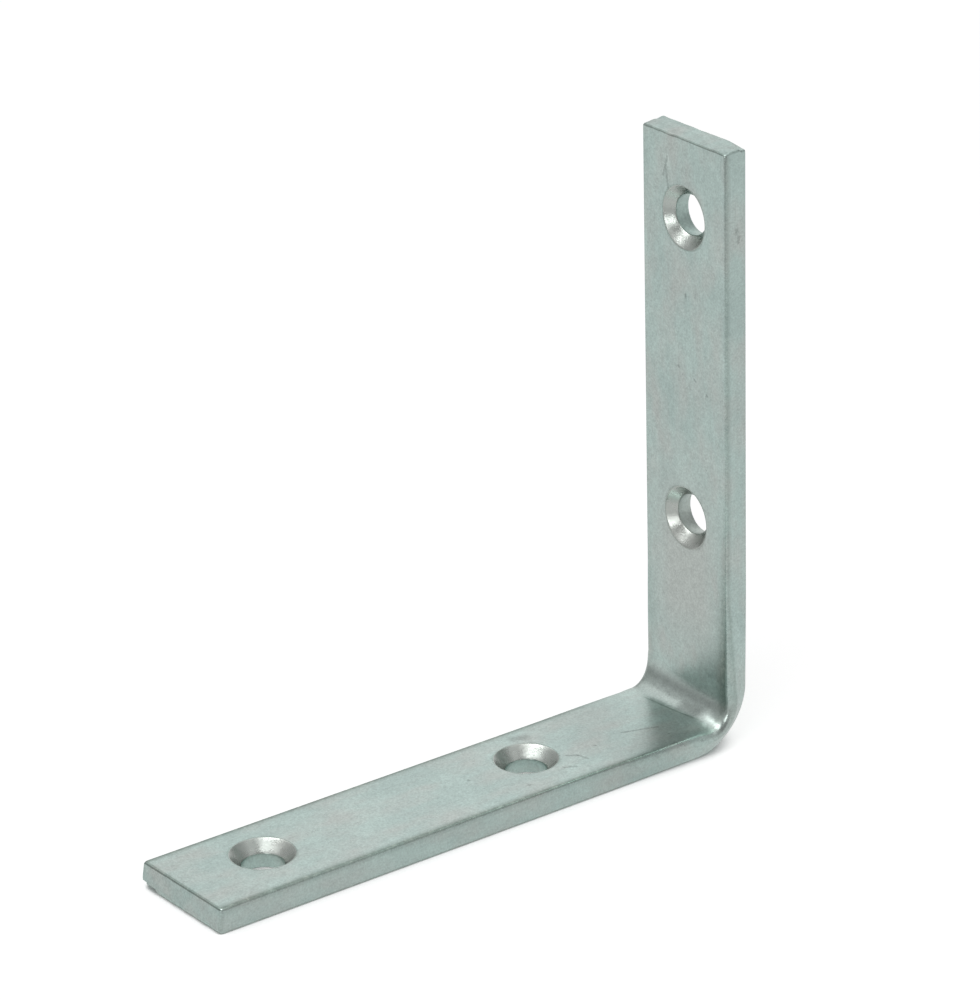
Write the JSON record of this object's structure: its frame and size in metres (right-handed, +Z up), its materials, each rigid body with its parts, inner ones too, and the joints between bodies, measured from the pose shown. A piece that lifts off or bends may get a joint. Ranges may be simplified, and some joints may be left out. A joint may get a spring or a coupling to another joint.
{
  "type": "corner brace",
  "caption": "Flat steel bar bent square into an L, with countersunk screw holes in both legs, for fastening two faces together at a corner.",
  "frame": {"origin": "middle of the base leg's footprint, on its underside", "axes": "+Z up along the upright leg; +X from the base leg's free end towards the bend, square to the upright's back face; Y across the bar's width"},
  "size_m": [0.1003, 0.0216, 0.0993],
  "materials": {
    "zinc_plated_steel": "satin zinc plate with a faint blue-green passivation"
  },
  "bodies": {
    "root": {"corner_brace": "zinc_plated_steel"}
  },
  "joints": []
}
